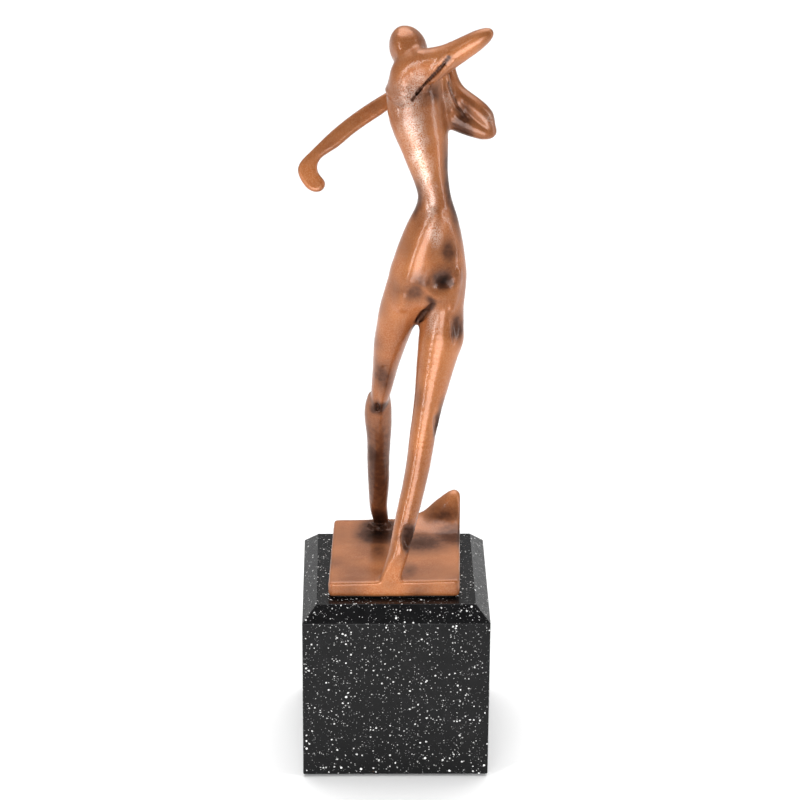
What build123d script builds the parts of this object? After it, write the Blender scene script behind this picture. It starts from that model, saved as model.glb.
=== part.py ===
from build123d import *

import os
from math import cos, pi, sin, sqrt

# Golfer figure trophy: a cast figure on a ground plate, bolted to a cube plinth.
#
# Frame: origin at the centre of the underside that the trophy rests on, +Z up, -Y towards the front
# of the plinth, +X to the viewer's right. Millimetres. Left and right in the names of limbs are the
# golfer's own, who faces -Y. The limbs are castings of their own, plugged together with spigots.

# Plinth and the felt under it
PLINTH_SIDE = 60.0
PLINTH_HEIGHT = 60.0
PLINTH_CHAMFER = 4.7
PLINTH_EDGE_BREAK = 0.4
FELT_THICKNESS = 0.8
FELT_INSET = 2.5
FELT_CORNER_RADIUS = 3.0

# Ground plate, which is thinner along its left side and swept up into a fin at the back right
PAD_THICKNESS = 0.6
PAD_INSET = 1.6
PLATE_WIDTH = 42.0
PLATE_DEPTH = 46.5
PLATE_THICKNESS_LEFT = 4.9
PLATE_THICKNESS_RIGHT = 5.9
PLATE_SKEW = 1.6
PLATE_CORNER_RADIUS = 1.2
PLATE_OFFSET_X = -0.7
PLATE_OFFSET_Y = 1.6
FIN_HEIGHT = 10.8
FIN_LENGTH = 21.5
FIN_SWEEP = 15.5
FIN_TOP_THICKNESS = 1.8
FIN_RAMP_SHARES = (0.0, 0.35, 0.7, 1.0)
# The fin's crest: share of its length from the left, share of its height.
FIN_CREST = [
    (0.0, 0.0), (0.2, 0.05), (0.38, 0.22), (0.56, 0.52), (0.73, 0.81),
    (0.82, 0.94), (0.9, 1.0), (0.96, 0.96), (1.02, 0.78),
]

# Fixing from below
STUD_DIAMETER = 6.0
STUD_THREAD_IN_PLATE = 3.4
STUD_PROTRUSION = 1.5
STUD_END_CHAMFER = 0.7
STUD_HOLE_CLEARANCE = 0.5
COUNTERBORE_DIAMETER = 22.0
COUNTERBORE_DEPTH = 12.0
WASHER_DIAMETER = 18.0
WASHER_THICKNESS = 1.6
WASHER_BORE_CLEARANCE = 0.2
LOCK_WASHER_DIAMETER = 11.8
LOCK_WASHER_THICKNESS = 1.6
LOCK_WASHER_GAP = 1.2
NUT_ACROSS_FLATS = 10.0
NUT_THICKNESS = 5.0
NUT_CHAMFER = 0.5

# Figure, and the spigots that join its castings
FIGURE_HEIGHT = 179.0
SPIGOT_DEPTH = 3.2
SPIGOT_CLEARANCE = 0.05
NECK_SPIGOT_DIAMETER = 3.0
SHOULDER_SPIGOT_DIAMETER = 3.5
HIP_SPIGOT_DIAMETER = 5.0
KNEE_SPIGOT_DIAMETER = 2.5
WRIST_SPIGOT_DIAMETER = 2.0
WRIST_SPIGOT_DEPTH = 0.8
FOOT_TENON_DIAMETER = 2.6
FOOT_TENON_DEPTH = 2.5
FOOT_TENON_ROOT = 3.0
FRONT_TENON_SET_BACK = 1.6


# Golf club, a flat bar with a hooked head
CLUB_THICKNESS = 3.2
CLUB_EDGE_RADIUS = 0.7

# The stations below are in millimetres on a figure of this height above the ground plate.
STATION_HEIGHT = 179.0

# Each is (x, y, height above ground, half width, half depth, turn), where the turn, in degrees,
# swings the wide direction backwards on the right.
HIP_SEAM_HEIGHT = 87.5
TORSO = [
    (7.9, -0.4, HIP_SEAM_HEIGHT, 13.6, 8.0, 0),
    (8.5, -0.6, 91.0, 13.4, 8.8, 0),
    (9.3, -0.8, 95.5, 12.7, 9.3, 2),
    (10.0, -1.0, 102.2, 11.3, 8.7, 4),
    (10.6, -1.5, 109.0, 9.7, 7.6, 6),
    (11.2, -2.0, 115.8, 7.6, 6.2, 8),
    (11.5, -2.0, 122.3, 5.3, 5.0, 10),
    (10.2, -1.7, 128.7, 5.5, 4.9, 14),
    (8.8, -1.0, 135.0, 6.7, 5.3, 18),
    (7.6, -0.2, 141.0, 8.1, 6.0, 20),
    (6.3, 0.4, 147.4, 9.3, 6.6, 22),
    (5.4, 0.9, 153.6, 9.3, 6.8, 22),
    (5.3, 1.2, 159.0, 8.4, 6.2, 22),
    (6.4, 1.4, 163.4, 6.2, 5.0, 22),
    (7.2, 1.5, 166.0, 3.2, 2.8, 22),
    (7.4, 1.5, 166.6, 1.0, 0.9, 22),
]
HEAD = [
    (7.0, 2.4, 160.6, 3.6, 3.4, 0),
    (5.8, 2.7, 163.4, 4.0, 3.9, 0),
    (4.4, 2.9, 166.3, 5.1, 5.4, 0),
    (3.0, 3.0, 169.2, 5.7, 6.1, 0),
    (2.0, 3.0, 172.0, 5.1, 5.6, 0),
    (1.3, 3.0, 174.1, 3.8, 4.2, 0),
    (0.9, 3.0, 175.4, 2.1, 2.3, 0),
    (0.8, 3.0, 175.9, 0.7, 0.8, 0),
]
RIGHT_UPPER_ARM = [
    (0.6, -1.4, 156.0, 4.7, 4.8, 0),
    (2.4, -2.6, 161.4, 5.5, 5.2, 0),
    (6.8, -4.6, 165.6, 5.8, 4.8, 0),
    (11.4, -6.6, 167.6, 4.9, 4.2, 0),
    (16.4, -8.2, 170.7, 3.8, 3.5, 0),
    (20.3, -9.2, 173.4, 3.4, 3.0, 0),
    (24.2, -10.2, 176.2, 2.8, 2.6, 0),
    (26.6, -10.8, 177.9, 2.0, 1.9, 0),
    (27.9, -11.1, 178.8, 0.9, 0.9, 0),
]
RIGHT_FOREARM = [
    (26.2, -9.8, 177.0, 1.6, 1.7, 0),
    (23.6, -5.8, 174.4, 2.3, 2.3, 0),
    (20.6, -1.0, 171.2, 2.6, 2.5, 0),
    (17.0, 3.4, 167.8, 2.5, 2.4, 0),
    (12.4, 9.4, 162.2, 2.2, 2.2, 0),
]
LEFT_UPPER_ARM = [
    (12.0, 3.6, 153.2, 4.4, 3.6, 0),
    (15.6, 4.0, 148.6, 4.5, 3.5, 0),
    (19.4, 3.4, 146.4, 4.2, 3.3, 0),
    (22.8, 2.6, 144.6, 3.5, 3.0, 0),
    (26.2, 1.8, 143.2, 2.8, 2.7, 0),
    (29.2, 1.3, 142.5, 2.2, 2.3, 0),
    (31.1, 1.1, 142.3, 1.5, 1.6, 0),
    (32.0, 1.0, 142.2, 0.6, 0.7, 0),
]
LEFT_FOREARM = [
    (29.6, 1.4, 143.4, 1.9, 2.0, 0),
    (27.6, 1.9, 146.2, 2.7, 2.6, 0),
    (24.4, 2.8, 149.8, 3.0, 2.9, 0),
    (20.8, 4.2, 152.4, 2.8, 2.8, 0),
    (17.4, 6.6, 155.6, 2.5, 2.6, 0),
    (15.8, 9.0, 159.4, 2.3, 2.4, 0),
    (15.2, 10.6, 162.2, 2.1, 2.1, 0),
]
HANDS = [
    (18.6, 11.8, 166.1, 0.9, 0.9, 0),
    (17.8, 11.5, 165.5, 2.4, 2.4, 0),
    (15.0, 10.8, 163.2, 3.2, 3.2, 0),
    (12.0, 10.0, 160.6, 3.2, 3.2, 0),
    (9.8, 9.4, 158.8, 2.4, 2.4, 0),
    (9.0, 9.2, 158.2, 1.0, 1.0, 0),
]

# Legs run between two points: (share of the way, sideways bow, half width, half depth).
LEFT_HIP = (15.8, -0.8, HIP_SEAM_HEIGHT)
LEFT_LEG = [
    (-0.05, 0.5, 6.6, 7.2),
    (0.08, 0.2, 7.0, 7.3),
    (0.17, 0.2, 6.6, 6.7),
    (0.24, 0.2, 5.8, 6.0),
    (0.31, 0.3, 5.1, 5.4),
    (0.38, 0.4, 4.5, 4.9),
    (0.49, 0.7, 4.1, 4.5),
    (0.60, 1.1, 3.8, 4.2),
    (0.71, 0.9, 3.6, 3.9),
    (0.82, 0.6, 3.4, 3.8),
    (0.92, 0.3, 3.2, 3.8),
    (1.04, 0.0, 3.3, 4.2),
]
LEFT_FOOT_X = -1.4
LEFT_FOOT_FROM_FRONT = 1.7
RIGHT_HIP = (1.6, 0.4, HIP_SEAM_HEIGHT)
RIGHT_KNEE = (-5.6, 7.2, 49.5)
RIGHT_THIGH = [
    (-0.08, 0.2, 7.2, 7.6),
    (0.08, -0.3, 6.5, 7.0),
    (0.27, -0.7, 5.6, 6.4),
    (0.46, -0.8, 4.8, 5.8),
    (0.66, -0.5, 3.9, 5.0),
    (0.81, -0.2, 3.4, 4.5),
    (0.93, 0.0, 2.9, 4.0),
    (1.03, 0.0, 1.8, 3.0),
]
SHIN_SET_BACK = 1.4
RIGHT_SHIN = [
    (-0.06, 0.1, 3.4, 3.0),
    (0.02, 0.0, 4.2, 3.8),
    (0.10, -0.1, 4.4, 4.2),
    (0.22, 0.1, 4.1, 4.1),
    (0.38, 0.0, 3.7, 3.9),
    (0.55, -0.1, 3.6, 3.6),
    (0.72, -0.1, 3.3, 3.4),
    (0.88, 0.0, 2.8, 3.0),
    (1.05, 0.0, 2.4, 2.7),
]
RIGHT_FOOT_X = -5.1
RIGHT_FOOT_FROM_BACK = 5.0

# Joints: a point inside the limb and one on its seat, between which its spigot starts.
NECK_JOINT = (3.2, 2.4, 167.6), (5.2, 1.8, 163.6)
RIGHT_SHOULDER_JOINT = (3.2, -5.2, 164.2), (2.8, -3.9, 162.0)
LEFT_SHOULDER_JOINT = (17.2, 3.8, 147.6), (14.7, 3.4, 147.6)
RIGHT_WRIST_JOINT = (14.8, 6.3, 165.2), (13.4, 8.1, 163.4)
LEFT_WRIST_JOINT = (15.9, 8.8, 158.8), (15.5, 9.5, 160.2)
KNEE_ROOT_SHARE = 0.1
KNEE_SEAT_SHARE = -0.03

# Club outline in its own plane: the first value runs down the shaft, the second across it.
CLUB_BUTT = (15.0, 11.0, 163.3)
CLUB_TIP = (-27.6, 0.2, 126.1)
CLUB_TILT = 25.0
CLUB_UPPER_EDGE = [(2, 1.4), (12, 3.3), (21, 5.0), (32, 6.8), (44, 7.4), (52, 7.1)]
CLUB_HEAD = [(56.2, 6.1), (58.2, 2.4), (57.9, -2.2), (55.6, -4.1), (53.2, -3.2), (52.6, 0.6)]
CLUB_LOWER_EDGE = [(50.8, 2.9), (44, 2.7), (38, 2.4), (27, 1.0), (15, -0.3), (2, -1.3)]

# Worked out from the sizes above
PLINTH_BOTTOM_Z = FELT_THICKNESS
PLINTH_TOP_Z = PLINTH_BOTTOM_Z + PLINTH_HEIGHT
COUNTERBORE_TOP_Z = PLINTH_BOTTOM_Z + COUNTERBORE_DEPTH
PLATE_BOTTOM_Z = PLINTH_TOP_Z + PAD_THICKNESS
GROUND_Z = PLATE_BOTTOM_Z + (PLATE_THICKNESS_LEFT + PLATE_THICKNESS_RIGHT) / 2
PLATE_FRONT_Y = PLATE_OFFSET_Y - PLATE_DEPTH / 2
PLATE_BACK_Y = PLATE_OFFSET_Y + PLATE_DEPTH / 2
PLATE_LEFT_X = PLATE_OFFSET_X - PLATE_WIDTH / 2
PLATE_RIGHT_X = PLATE_OFFSET_X + PLATE_WIDTH / 2
FIGURE_SCALE = FIGURE_HEIGHT / STATION_HEIGHT
HIP_SEAM_Z = GROUND_Z + HIP_SEAM_HEIGHT * FIGURE_SCALE
STUD_AXIS = Vector(PLATE_OFFSET_X, PLATE_OFFSET_Y, 0)

SECTION_POINTS = 12
BIG = 500.0


def figure_point(x, y, height):
    """A point of the figure, given at station size, in the trophy's frame."""
    return Vector(x * FIGURE_SCALE, y * FIGURE_SCALE, GROUND_Z + height * FIGURE_SCALE)


LEFT_HIP_POINT = figure_point(*LEFT_HIP)
LEFT_FOOT_POINT = Vector(LEFT_FOOT_X, PLATE_FRONT_Y + LEFT_FOOT_FROM_FRONT, GROUND_Z)
RIGHT_HIP_POINT = figure_point(*RIGHT_HIP)
RIGHT_KNEE_POINT = figure_point(*RIGHT_KNEE)
RIGHT_FOOT_POINT = Vector(RIGHT_FOOT_X, PLATE_BACK_Y - RIGHT_FOOT_FROM_BACK, GROUND_Z)


def section(centre, along, half_width, half_depth, turn=0.0):
    """An elliptical face square to a limb, with its width across the view from the front."""
    plane = Plane(origin=centre, x_dir=Vector(0, 1, 0).cross(along), z_dir=along)
    ring = [
        (half_width * cos(2 * pi * i / SECTION_POINTS), half_depth * sin(2 * pi * i / SECTION_POINTS))
        for i in range(SECTION_POINTS)
    ]
    return plane * Rot(0, 0, turn) * make_face(Spline(ring, periodic=True))


def limb(centres, sizes, along=None):
    """A loft through one elliptical section at each centre; sizes are (half width, half depth, turn)."""
    faces = []
    last = len(centres) - 1
    for i, (centre, (half_width, half_depth, turn)) in enumerate(zip(centres, sizes)):
        direction = along or centres[min(i + 1, last)] - centres[max(i - 1, 0)]
        scaled = half_width * FIGURE_SCALE, half_depth * FIGURE_SCALE
        faces.append(section(centre, direction, *scaled, turn))
    return loft(faces)


def figure_limb(stations, along=None):
    """A limb through stations of the figure."""
    return limb([figure_point(*s[:3]) for s in stations], [s[3:] for s in stations], along)


def leg(start, end, stations):
    """A limb from one point to another, bowed sideways by each station's second value."""
    centres = [
        start + (end - start) * share + Vector(bow * FIGURE_SCALE, 0, 0)
        for share, bow, *_ in stations
    ]
    return limb(centres, [(s[2], s[3], 0) for s in stations])


def largest(shape):
    """The largest solid of a shape, without the offcuts that a cut leaves."""
    return max(shape.solids(), key=lambda solid: solid.volume)


def rod(start, end, diameter):
    """A round rod between two points."""
    return Plane(origin=start, z_dir=end - start) * Cylinder(
        diameter / 2, (end - start).length, align=(Align.CENTER, Align.CENTER, Align.MIN)
    )


def plug(limb_piece, host, root, seat, diameter, depth=SPIGOT_DEPTH):
    """The limb with a spigot from its root through the seat, and the host with the socket for it."""
    direction = (seat - root).normalized()
    spigot = rod(root, seat + direction * depth, diameter)
    socket_end = seat + direction * (depth + SPIGOT_CLEARANCE)
    socket = rod(root, socket_end, diameter + 2 * SPIGOT_CLEARANCE)
    return limb_piece + spigot, host - socket


def plinth():
    """The cube with chamfered top edges, its stud hole and the counterbore for the nut."""
    block = Pos(0, 0, PLINTH_BOTTOM_Z) * Box(
        PLINTH_SIDE, PLINTH_SIDE, PLINTH_HEIGHT, align=(Align.CENTER, Align.CENTER, Align.MIN)
    )
    block = chamfer(block.faces().sort_by(Axis.Z)[-1].edges(), PLINTH_CHAMFER)
    block = fillet(block.edges(), PLINTH_EDGE_BREAK)
    hole = STUD_DIAMETER + 2 * STUD_HOLE_CLEARANCE
    block -= rod(STUD_AXIS, STUD_AXIS + Vector(0, 0, PLINTH_TOP_Z), hole)
    floor = STUD_AXIS + Vector(0, 0, COUNTERBORE_TOP_Z)
    return block - rod(STUD_AXIS, floor, COUNTERBORE_DIAMETER)


def felt_base():
    """The felt square stuck under the plinth."""
    side = PLINTH_SIDE - 2 * FELT_INSET
    return extrude(RectangleRounded(side, side, FELT_CORNER_RADIUS), FELT_THICKNESS)


def plate_outline(inset=0.0):
    """The plate's four corners, drawn in by an inset; its back edge is skewed to the right."""
    left, right = PLATE_LEFT_X + inset, PLATE_RIGHT_X - inset
    front, back = PLATE_FRONT_Y + inset, PLATE_BACK_Y - inset
    corners = [(left, front), (right, front), (right + PLATE_SKEW, back), (left + PLATE_SKEW, back)]
    outline = make_face(Polyline(*corners, close=True))
    return fillet(outline.vertices(), PLATE_CORNER_RADIUS)


def mounting_pad():
    """The adhesive pad between plate and plinth, pierced for the stud."""
    pad = Pos(0, 0, PLINTH_TOP_Z) * extrude(plate_outline(PAD_INSET), PAD_THICKNESS)
    hole = STUD_DIAMETER + 2 * STUD_HOLE_CLEARANCE
    return pad - rod(STUD_AXIS, STUD_AXIS + Vector(0, 0, PLATE_BOTTOM_Z), hole)


def upswept_fin():
    """A concave ramp across the back of the plate, whose crest climbs to a peak near the right."""
    start_x = PLATE_RIGHT_X + PLATE_SKEW - FIN_LENGTH
    foot_y = PLATE_BACK_Y - FIN_SWEEP
    lip_y = PLATE_BACK_Y - FIN_TOP_THICKNESS
    sections = []
    for along, crest in FIN_CREST:
        height = crest * FIN_HEIGHT
        ramp = [
            (foot_y + (lip_y - foot_y) * share, GROUND_Z + height * share**2)
            for share in FIN_RAMP_SHARES
        ]
        top = PLATE_BACK_Y, GROUND_Z + height
        front = Plane.YZ * Spline(*ramp, top)
        underside = (PLATE_BACK_Y, PLATE_BOTTOM_Z), (foot_y, PLATE_BOTTOM_Z)
        back = Plane.YZ * Polyline(top, *underside, ramp[0])
        sections.append(Pos(start_x + along * FIN_LENGTH, 0, 0) * make_face(front + back))
    return loft(sections)


def plate_block():
    """The ground plate without its holes: a slab that thickens to the right, with the fin."""
    rise = PLATE_THICKNESS_RIGHT - PLATE_THICKNESS_LEFT
    left, right = PLATE_LEFT_X - PLATE_WIDTH / 2, PLATE_RIGHT_X + PLATE_WIDTH / 2
    profile = Polyline(
        (left, PLATE_BOTTOM_Z),
        (left, PLATE_BOTTOM_Z + PLATE_THICKNESS_LEFT - rise / 2),
        (right, PLATE_BOTTOM_Z + PLATE_THICKNESS_RIGHT + rise / 2),
        (right, PLATE_BOTTOM_Z),
        close=True,
    )
    slab = extrude(Plane.XZ * make_face(profile), PLATE_DEPTH, both=True)
    prism = Pos(0, 0, PLATE_BOTTOM_Z) * extrude(plate_outline(), BIG)
    return largest(prism & (slab + upswept_fin()))


def in_front_of(y):
    """Everything in front of a plane, for cutting a foot flush."""
    return Pos(0, y, 0) * Box(BIG, BIG, BIG, align=(Align.CENTER, Align.MAX, Align.CENTER))


def above(z):
    """Everything above a height."""
    return Pos(0, 0, z) * Box(BIG, BIG, BIG, align=(Align.CENTER, Align.CENTER, Align.MIN))


def golf_club():
    """A flat bar with a hooked head, from its butt between the hands."""
    butt, tip = figure_point(*CLUB_BUTT), figure_point(*CLUB_TIP)
    down_shaft = (tip - butt).normalized()
    flat = Plane(origin=butt, x_dir=down_shaft, z_dir=down_shaft.cross(Vector(0, 0, 1)))
    stations = CLUB_UPPER_EDGE + CLUB_HEAD + CLUB_LOWER_EDGE
    edge = [(x * FIGURE_SCALE, y * FIGURE_SCALE) for x, y in stations]
    outline = Spline(*edge)
    bar = extrude(make_face(outline + Line(outline @ 1, outline @ 0)), CLUB_THICKNESS / 2, both=True)
    rims = bar.edges().filter_by(GeomType.BSPLINE)
    return flat * Rot(CLUB_TILT, 0, 0) * fillet(rims, CLUB_EDGE_RADIUS)


def hex_nut(top_z):
    """The nut that draws the plate down, chamfered on both faces."""
    nut = Pos(0, 0, top_z - NUT_THICKNESS) * extrude(
        RegularPolygon(NUT_ACROSS_FLATS / 2, 6, major_radius=False), NUT_THICKNESS
    )
    across_corners = NUT_ACROSS_FLATS * 2 / sqrt(3)
    turned = Pos(0, 0, top_z - NUT_THICKNESS) * extrude(Circle(across_corners / 2), NUT_THICKNESS)
    nut &= chamfer(turned.edges(), NUT_CHAMFER)
    return nut - Pos(0, 0, top_z) * Cylinder(STUD_DIAMETER / 2, BIG)


def ring(top_z, outer, bore, thickness):
    """A flat ring under a height."""
    blank = extrude(Circle(outer / 2) - Circle(bore / 2), thickness)
    return Pos(0, 0, top_z - thickness) * blank


def fixings():
    """The stud and what clamps it, from the counterbore's floor downwards."""
    bore = STUD_DIAMETER + 2 * WASHER_BORE_CLEARANCE
    washer = ring(COUNTERBORE_TOP_Z, WASHER_DIAMETER, bore, WASHER_THICKNESS)
    lock_top = COUNTERBORE_TOP_Z - WASHER_THICKNESS
    lock_washer = ring(lock_top, LOCK_WASHER_DIAMETER, bore, LOCK_WASHER_THICKNESS)
    lock_washer -= Pos(0, 0, lock_top) * Box(
        LOCK_WASHER_DIAMETER, LOCK_WASHER_GAP, BIG, align=(Align.MIN, Align.CENTER, Align.CENTER)
    )
    nut_top = lock_top - LOCK_WASHER_THICKNESS
    stud_bottom = nut_top - NUT_THICKNESS - STUD_PROTRUSION
    stud_length = PLATE_BOTTOM_Z + STUD_THREAD_IN_PLATE - stud_bottom
    stud = Pos(0, 0, stud_bottom) * extrude(Circle(STUD_DIAMETER / 2), stud_length)
    pieces = {
        "fixing_stud": chamfer(stud.edges(), STUD_END_CHAMFER),
        "plain_washer": washer,
        "lock_washer": lock_washer,
        "hex_nut": hex_nut(nut_top),
    }
    return {name: Pos(STUD_AXIS) * piece for name, piece in pieces.items()}


def upper_body(torso):
    """Head, arms, hands and club, each trimmed to its neighbours."""
    head = largest(figure_limb(HEAD) - torso)
    right_arm = figure_limb(RIGHT_UPPER_ARM) + figure_limb(RIGHT_FOREARM)
    right_arm = largest(right_arm - torso - head)
    left_arm = figure_limb(LEFT_UPPER_ARM) + figure_limb(LEFT_FOREARM)
    left_arm = largest(left_arm - torso - head - right_arm)
    hands = figure_limb(HANDS)
    right_arm = largest(right_arm - hands)
    left_arm = largest(left_arm - hands)
    club = largest(golf_club() - torso - right_arm - left_arm)
    hands = largest(hands - torso - head - club)
    return head, right_arm, left_arm, hands, club


def legs(plate):
    """The standing leg, and the trailing leg's thigh and shin, cut to the hips and the plate."""
    below_hips = Pos(0, 0, HIP_SEAM_Z) * Rot(180, 0, 0) * above(0)
    standing = leg(LEFT_HIP_POINT, LEFT_FOOT_POINT, LEFT_LEG) & below_hips
    standing = largest(standing - in_front_of(PLATE_FRONT_Y) - plate)
    thigh = leg(RIGHT_HIP_POINT, RIGHT_KNEE_POINT, RIGHT_THIGH) & below_hips
    thigh = largest(thigh - standing)
    set_back = Vector(0, SHIN_SET_BACK * FIGURE_SCALE, 0)
    shin = leg(RIGHT_KNEE_POINT + set_back, RIGHT_FOOT_POINT, RIGHT_SHIN)
    shin = largest(shin - thigh - plate)
    return standing, thigh, shin


def join_upper_body(torso, head, right_arm, left_arm, hands):
    """Spigots and sockets at the neck, shoulders and wrists."""
    neck, right_shoulder, left_shoulder, right_wrist, left_wrist = (
        [figure_point(*point) for point in joint]
        for joint in (
            NECK_JOINT, RIGHT_SHOULDER_JOINT, LEFT_SHOULDER_JOINT, RIGHT_WRIST_JOINT, LEFT_WRIST_JOINT
        )
    )
    wrist = WRIST_SPIGOT_DIAMETER, WRIST_SPIGOT_DEPTH
    head, torso = plug(head, torso, *neck, NECK_SPIGOT_DIAMETER)
    right_arm, torso = plug(right_arm, torso, *right_shoulder, SHOULDER_SPIGOT_DIAMETER)
    left_arm, torso = plug(left_arm, torso, *left_shoulder, SHOULDER_SPIGOT_DIAMETER)
    right_arm, hands = plug(right_arm, hands, *right_wrist, *wrist)
    left_arm, hands = plug(left_arm, hands, *left_wrist, *wrist)
    return torso, head, right_arm, left_arm, hands


def join_legs(torso, left_leg, right_thigh, right_shin):
    """Spigots and sockets at the hips and the knee."""
    drop = Vector(0, 0, SPIGOT_DEPTH)
    seat = Vector(LEFT_HIP_POINT.X, LEFT_HIP_POINT.Y, HIP_SEAM_Z)
    left_leg, torso = plug(left_leg, torso, seat - drop, seat, HIP_SPIGOT_DIAMETER)
    seat = Vector(RIGHT_HIP_POINT.X, RIGHT_HIP_POINT.Y, HIP_SEAM_Z)
    right_thigh, torso = plug(right_thigh, torso, seat - drop, seat, HIP_SPIGOT_DIAMETER)
    up_thigh = RIGHT_HIP_POINT - RIGHT_KNEE_POINT
    root = RIGHT_KNEE_POINT + up_thigh * KNEE_ROOT_SHARE
    seat = RIGHT_KNEE_POINT + up_thigh * KNEE_SEAT_SHARE
    right_thigh, right_shin = plug(right_thigh, right_shin, root, seat, KNEE_SPIGOT_DIAMETER)
    return torso, left_leg, right_thigh, right_shin


def plant_feet(plate, left_leg, right_shin):
    """Tenons from the feet into the plate, and the plate's threaded stud hole."""
    rise = Vector(0, 0, FOOT_TENON_ROOT)
    tenon = FOOT_TENON_DIAMETER, FOOT_TENON_DEPTH
    seat = LEFT_FOOT_POINT + Vector(0, FRONT_TENON_SET_BACK, 0)
    left_leg, plate = plug(left_leg, plate, seat + rise, seat, *tenon)
    seat = RIGHT_FOOT_POINT
    right_shin, plate = plug(right_shin, plate, seat + rise, seat, *tenon)
    hole_end_z = PLATE_BOTTOM_Z + STUD_THREAD_IN_PLATE + SPIGOT_CLEARANCE
    plate -= rod(STUD_AXIS, STUD_AXIS + Vector(0, 0, hole_end_z), STUD_DIAMETER)
    return plate, left_leg, right_shin


def figure_and_plate():
    """The figure's castings and the ground plate."""
    plate = plate_block()
    torso = figure_limb(TORSO, along=Vector(0, 0, 1))
    head, right_arm, left_arm, hands, club = upper_body(torso)
    left_leg, right_thigh, right_shin = legs(plate)
    torso, head, right_arm, left_arm, hands = join_upper_body(torso, head, right_arm, left_arm, hands)
    torso, left_leg, right_thigh, right_shin = join_legs(torso, left_leg, right_thigh, right_shin)
    plate, left_leg, right_shin = plant_feet(plate, left_leg, right_shin)
    return {
        "torso": torso,
        "head": head,
        "right_arm": right_arm,
        "left_arm": left_arm,
        "clasped_hands": hands,
        "golf_club": club,
        "left_leg": left_leg,
        "right_thigh": right_thigh,
        "right_shin": right_shin,
        "ground_plate": plate,
    }


pieces = figure_and_plate()
pieces |= {"plinth": plinth(), "felt_base": felt_base(), "mounting_pad": mounting_pad()}
pieces |= fixings()

os.makedirs("parts", exist_ok=True)
for name, piece in pieces.items():
    export_step(piece, f"parts/{name}.step")
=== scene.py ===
"""Looks of the golfer figure trophy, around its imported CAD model.

The castings' CAD solids meet along plain seams. Here their distance fields are melted into one skin,
which is dressed as a founder would (creases, hollows, ridges, tool marks) and then cut apart again along
the same seams, so that each casting stays a closed piece of its own. Lengths in the fields are in
millimetres; Blender objects are in metres.
"""

from math import cos, radians, sin

import bpy
import numpy as np
import openvdb as vdb
from mathutils import Matrix, Vector


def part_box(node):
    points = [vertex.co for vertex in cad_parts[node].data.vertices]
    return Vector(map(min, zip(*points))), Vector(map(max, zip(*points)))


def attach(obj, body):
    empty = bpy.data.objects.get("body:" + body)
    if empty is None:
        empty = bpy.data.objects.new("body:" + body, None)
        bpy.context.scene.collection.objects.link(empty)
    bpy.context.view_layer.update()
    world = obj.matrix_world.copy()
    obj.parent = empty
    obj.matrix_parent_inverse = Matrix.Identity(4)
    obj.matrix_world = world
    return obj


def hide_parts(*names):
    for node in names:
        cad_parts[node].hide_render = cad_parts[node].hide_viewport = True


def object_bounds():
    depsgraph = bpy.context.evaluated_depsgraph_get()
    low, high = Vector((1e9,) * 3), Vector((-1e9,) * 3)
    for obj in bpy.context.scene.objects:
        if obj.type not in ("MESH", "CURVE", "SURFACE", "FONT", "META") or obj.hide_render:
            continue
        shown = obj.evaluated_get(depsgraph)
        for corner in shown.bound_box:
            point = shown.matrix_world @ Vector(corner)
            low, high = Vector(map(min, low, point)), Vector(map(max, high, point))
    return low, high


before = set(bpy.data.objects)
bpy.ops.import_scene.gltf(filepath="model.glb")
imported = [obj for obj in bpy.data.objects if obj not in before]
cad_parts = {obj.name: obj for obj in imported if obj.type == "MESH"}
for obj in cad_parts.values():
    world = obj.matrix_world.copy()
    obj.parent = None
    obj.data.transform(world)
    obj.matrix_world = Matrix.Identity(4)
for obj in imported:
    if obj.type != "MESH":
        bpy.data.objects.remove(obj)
cad_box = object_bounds()

MM = 0.001
CASTINGS = [
    "torso", "head", "right_arm", "left_arm", "clasped_hands", "golf_club",
    "left_leg", "right_thigh", "right_shin", "ground_plate",
]

# ---------------------------------------------------------------- shader nodes


class Nodes:
    """A node tree, with short names for what the recipes below repeat."""

    def __init__(self, tree):
        self.nodes = tree.nodes
        self.links = tree.links
        self.coordinates = self.nodes.new("ShaderNodeTexCoord").outputs

    def put(self, kind, inputs=(), **settings):
        """A new node; inputs are (socket, value or output) pairs."""
        node = self.nodes.new("ShaderNode" + kind)
        for key, value in settings.items():
            setattr(node, key, value)
        for socket, value in inputs:
            self.set(node.inputs[socket], value)
        return node

    def set(self, socket, value):
        """Links an output, or sets a plain value."""
        if isinstance(value, bpy.types.NodeSocket):
            self.links.new(value, socket)
        else:
            socket.default_value = value

    def math(self, operation, *values, clamp=False):
        """Arithmetic on one to three numbers or outputs."""
        return self.put("Math", enumerate(values), operation=operation, use_clamp=clamp).outputs[0]

    def remap(self, value, low, high, to_low=0.0, to_high=1.0, curve="SMOOTHSTEP"):
        """value carried from the range low to high onto to_low to to_high, and held there beyond it."""
        inputs = [
            ("Value", value), ("From Min", low), ("From Max", high), ("To Min", to_low), ("To Max", to_high),
        ]
        return self.put("MapRange", inputs, interpolation_type=curve).outputs["Result"]

    def split(self, vector):
        """The x, y and z outputs of a vector."""
        return self.put("SeparateXYZ", [(0, vector)]).outputs


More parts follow.
